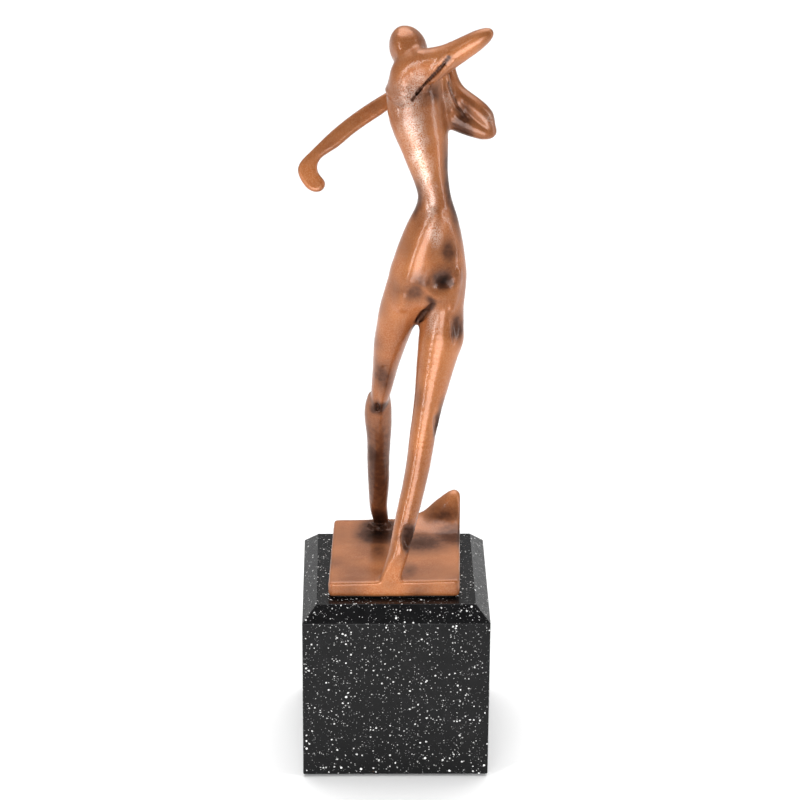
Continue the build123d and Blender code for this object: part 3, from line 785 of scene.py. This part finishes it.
def add_castings(material):
    """Builds the skin, dresses it, and cuts it into one piece for each casting."""
    skin = Skin()
    skin.melt()
    dress(skin)
    points, triangles = skin.mesh()
    normals = slope(skin.field, points)
    if (vertex_normals(points, triangles) * normals).sum() < 0:
        triangles = triangles[:, ::-1]

    # Points moved about a little, so that the edges of spots are ragged.
    bend = np.stack([lattice_noise(points, 3.0, seed) for seed in (11, 12, 13)], axis=1)
    fray = np.roll(lattice_noise(points, 1.3, 14)[:, None] * bend, 1, axis=1)
    bent = points + SPOT_BEND * bend + SPOT_FRAY * fray
    # Patina, with a painted shadow under the crossing arm.
    patina_and_shadow = patina_and_shadow_on(skin, points, bend, bent)
    # Where highlights are painted on as paler, milky metal.
    painted_highlight = front_spots(skin, bent, PAINTED_HIGHLIGHTS)
    rough = front_spots(skin, points, ROUGH_SPOTS)
    ripple = RIPPLE_HEIGHT * front_spots(skin, points, RIPPLED_SPOTS)
    wave = np.sin(points[:, 2] * RIPPLE_TURN + RIPPLE_STRAY * lattice_noise(points, 3.0, 22))
    points = points + normals * (ripple * wave)[:, None]
    uneven = layered_noise(points, WANDER) + rough * layered_noise(points, GRIT)
    points = points + normals * uneven[:, None]
    shade = shut_in(skin.field, points, normals)
    normals = vertex_normals(points, triangles)
    values = np.column_stack([normals, patina_and_shadow, shade, painted_highlight])
    reach = np.stack([sample(skin.parts[n], points) for n in CASTINGS])
    for i, node in enumerate(CASTINGS):
        others = np.delete(reach, i, axis=0).min(0)
        add_piece(node, material, *cut_piece(points, triangles, values, reach[i] - others))


# ---------------------------------------------------------------- materials


def copper():
    """Lacquered antique copper: bright on the crests, with painted highlights, and brown-black where patina
    gathers and where shade is painted into the creases.
    """
    orange, deep_orange = (0.47, 0.152, 0.043, 1), (0.40, 0.112, 0.026, 1)
    pale_grain, painted_highlight_tint = (0.50, 0.205, 0.080, 1), (0.84, 0.63, 0.53, 1)
    chestnut, black = (0.105, 0.034, 0.014, 1), (0.012, 0.005, 0.0035, 1)
    s = Shader("copper_patina")
    grain = s.noise(0.42, 2.0, 0.6)
    bright = s.mix(s.remap(s.noise(9.0, 2.0), 0.35, 0.65), orange, deep_orange)
    bright = s.mix(s.remap(grain, 0.35, 0.7), bright, pale_grain)
    # Painted highlight: the metal turns milky and pale where light would be reflected.
    bright = s.mix(s.math("MULTIPLY", s.mask("painted_highlight"), s.remap(grain, 0.33, 0.58)), bright, painted_highlight_tint)
    ragged = s.math("MULTIPLY", s.math("SUBTRACT", s.noise(1.6, 4.0), 0.5), 0.5)
    # Dark: the patina with its painted shadow, and painted shade in the creases from the shade mask, where
    # patina also gathers.
    dark = s.math("MAXIMUM", s.mask("patina_and_shadow"), s.remap(s.mask("shade"), 0.55, 0.95))
    dark = s.math("ADD", dark, s.math("MULTIPLY", ragged, dark), clamp=True)
    brown = s.mix(s.remap(dark, 0.0, 0.62, curve="LINEAR"), bright, chestnut)
    dull = s.math("ADD", s.remap(grain, 0.3, 0.7, 0.36, 0.46), s.math("MULTIPLY", dark, 0.12))
    fine = s.bump(grain, 0.05, 0.6)
    return s.surface(
        base_color=s.mix(s.remap(dark, 0.45, 1.0, curve="LINEAR"), brown, black),
        metallic=s.remap(dark, 0.2, 0.9, 0.35, 0.80),
        roughness=dull,
        coat_weight=s.remap(dark, 0.3, 1.0, 0.65, 0.12),
        coat_roughness=0.13,
        specular_ior_level=0.40,
        specular_tint=(0.80, 0.60, 0.50, 1),
        normal=s.bump(s.noise(1.1, 3.0), 0.04, 0.35, fine),
        coat_normal=fine,
    )


# Specks in the plinth: size of the cells that hold one each in millimetres, share of the cells left
# empty, largest speck as a share of its cell, and colour. The last kind is copper.
SPECKS = [
    (0.42, 0.74, 0.40, (0.14, 0.14, 0.14, 1)),
    (0.60, 0.80, 0.40, (0.40, 0.40, 0.39, 1)),
    (0.90, 0.84, 0.38, (0.62, 0.62, 0.61, 1)),
    (1.60, 0.88, 0.26, (0.85, 0.85, 0.84, 1)),
    (6.50, 0.80, 0.07, (0.55, 0.25, 0.12, 1)),
]


def speckled_stone():
    """Polished black with ragged white specks of several sizes, and a rare copper one."""
    black, charcoal = (0.0035, 0.0035, 0.0038, 1), (0.007, 0.007, 0.0075, 1)
    s = Shader("speckled_stone")
    swirl = s.put("TexNoise", [("Vector", s.place), ("Scale", 2200.0), ("Detail", 2.0)]).outputs["Color"]
    swirl = s.put("VectorMath", [(0, swirl), (1, (0.5, 0.5, 0.5))], operation="SUBTRACT").outputs[0]
    swirl = s.put("VectorMath", [(0, swirl), ("Scale", 0.4 * MM)], operation="SCALE").outputs[0]
    place = s.put("VectorMath", [(0, s.place), (1, swirl)], operation="ADD").outputs[0]
    colour = s.mix(s.remap(s.noise(4.0), 0.4, 0.8), black, charcoal)
    for cell, empty, largest, tint in SPECKS:
        cells = s.put("TexVoronoi", [("Vector", place), ("Scale", 1 / (cell * MM))]).outputs
        luck = s.put("SeparateColor", [(0, cells["Color"])]).outputs[0]
        size = s.remap(luck, empty, 1.0, -0.06, largest)
        speck = s.remap(s.math("SUBTRACT", size, cells["Distance"]), -0.03, 0.05)
        colour = s.mix(speck, colour, tint)
    return s.surface(
        base_color=colour,
        specular_ior_level=0.20,
        roughness=s.remap(s.noise(2.5), 0.3, 0.7, 0.16, 0.24),
        normal=s.bump(s.noise(1.4, 2.0), 0.01, 0.25),
    )


def zinc_plate():
    """Bright zinc on turned steel, with a mottled sheen."""
    bluish, yellowish = (0.50, 0.51, 0.53, 1), (0.66, 0.66, 0.64, 1)
    s = Shader("zinc_plated_steel")
    mottle = s.noise(1.8, 4.0)
    return s.surface(
        base_color=s.mix(s.remap(mottle, 0.3, 0.7), bluish, yellowish),
        metallic=1.0,
        roughness=s.remap(mottle, 0.3, 0.7, 0.22, 0.38),
        normal=s.bump(s.noise(0.25, 2.0), 0.01, 0.3),
    )


def black_foam():
    """Closed-cell foam."""
    wall, cell = (0.010, 0.010, 0.010, 1), (0.03, 0.03, 0.03, 1)
    s = Shader("adhesive_foam")
    cells = s.put("TexVoronoi", [("Vector", s.place), ("Scale", 1 / (0.3 * MM))]).outputs["Distance"]
    return s.surface(base_color=s.mix(cells, wall, cell), roughness=0.85, normal=s.bump(cells, 0.05, 0.6))


def felt():
    """Black pressed wool: short fibres lying every way, in faint clumps."""
    black, grey, pale = (0.006, 0.006, 0.007, 1), (0.028, 0.028, 0.030, 1), (0.04, 0.04, 0.042, 1)
    s = Shader("black_felt")
    fibres = s.noise(0.25, 6.0, 0.7)
    wool = s.mix(s.remap(fibres, 0.3, 0.7), black, grey)
    return s.surface(
        base_color=s.mix(s.remap(s.noise(2.0, 3.0), 0.3, 0.8, 0.0, 0.4), wool, pale),
        roughness=0.95,
        sheen_weight=0.5,
        normal=s.bump(fibres, 0.12, 0.8),
    )


def paint(material, *nodes):
    """Gives CAD nodes a material."""
    for node in nodes:
        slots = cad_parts[node].data.materials
        if len(slots) == 0:
            slots.append(material)
        for i in range(len(slots)):
            slots[i] = material


# ---------------------------------------------------------------- the felt

# Corner radius, and how ragged the cut and how uneven the underside are: millimetres, a share, millimetres.
FELT_CORNER = 3.0
FELT_RAGGED = 0.003
FELT_UNEVEN = 0.06
FELT_EDGE_POINTS = 40
# Rings from the middle of the top round the edge to the middle of the bottom: share of the outline, of
# the height.
FELT_RINGS = [
    (0.3, 1.0), (0.6, 1.0), (0.85, 1.0), (0.985, 1.0), (1.0, 0.75), (1.0, 0.3),
    (0.985, 0.05), (0.85, 0.0), (0.6, 0.0), (0.3, 0.0),
]


def felt_outline(half):
    """Points around a rounded square of half the side, with a slightly ragged cut."""
    inner = half - FELT_CORNER
    turns = np.radians(range(0, 91, 10))
    arc = inner + FELT_CORNER * np.column_stack([np.cos(turns), np.sin(turns)])
    edge = [(x, half) for x in np.linspace(inner, -inner, FELT_EDGE_POINTS + 2)[1:-1]]
    quarter = np.concatenate([arc, edge])
    corners = np.radians([0, 90, 180, 270])
    outline = np.concatenate([quarter @ [[cos(t), sin(t)], [-sin(t), cos(t)]] for t in corners])
    return outline * (1 - np.random.default_rng(5).uniform(0, FELT_RAGGED, (len(outline), 1)))


def felt_mesh(lowest, highest):
    """Points and faces of a closed felt square that fills a box."""
    outline = felt_outline((highest[0] - lowest[0]) / 2)
    count = len(outline)
    points, faces = [], []
    for share, height in FELT_RINGS:
        z = lowest[2] + height * (highest[2] - lowest[2])
        ring = np.column_stack([outline * share, np.full(count, z)])
        if height < 0.1:
            ring[:, 2] += FELT_UNEVEN * (1 + lattice_noise(ring, 5.0, 31))
        points.extend(ring)
    after = np.roll(range(count), -1).tolist()
    last = (len(FELT_RINGS) - 1) * count
    for row in range(0, last, count):
        faces.extend((row + i, row + count + i, row + count + after[i], row + after[i]) for i in range(count))
    top, bottom = len(points), len(points) + 1
    points.extend([(0, 0, highest[2]), (0, 0, lowest[2])])
    faces.extend((top, i, after[i]) for i in range(count))
    faces.extend((bottom, last + after[i], last + i) for i in range(count))
    return np.array(points), faces


def add_felt():
    """The felt square under the plinth, with a soft edge and a slightly uneven underside."""
    lowest, highest = span("felt_base")
    points, faces = felt_mesh(lowest, highest)
    mesh = bpy.data.meshes.new("felt_sheet")
    mesh.from_pydata((points * MM).tolist(), [], faces)
    mesh.polygons.foreach_set("use_smooth", [True] * len(faces))
    sheet = bpy.data.objects.new("felt_sheet", mesh)
    bpy.context.scene.collection.objects.link(sheet)
    sheet.data.materials.append(felt())
    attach(sheet, "root")
    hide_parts("felt_base")


# ---------------------------------------------------------------- the scene

add_camera()
add_floor()
add_light()
paint(speckled_stone(), "plinth")
paint(zinc_plate(), "fixing_stud", "plain_washer", "lock_washer", "hex_nut")
paint(black_foam(), "mounting_pad")
add_felt()
add_castings(copper())
bpy.context.scene.view_settings.view_transform = "Standard"
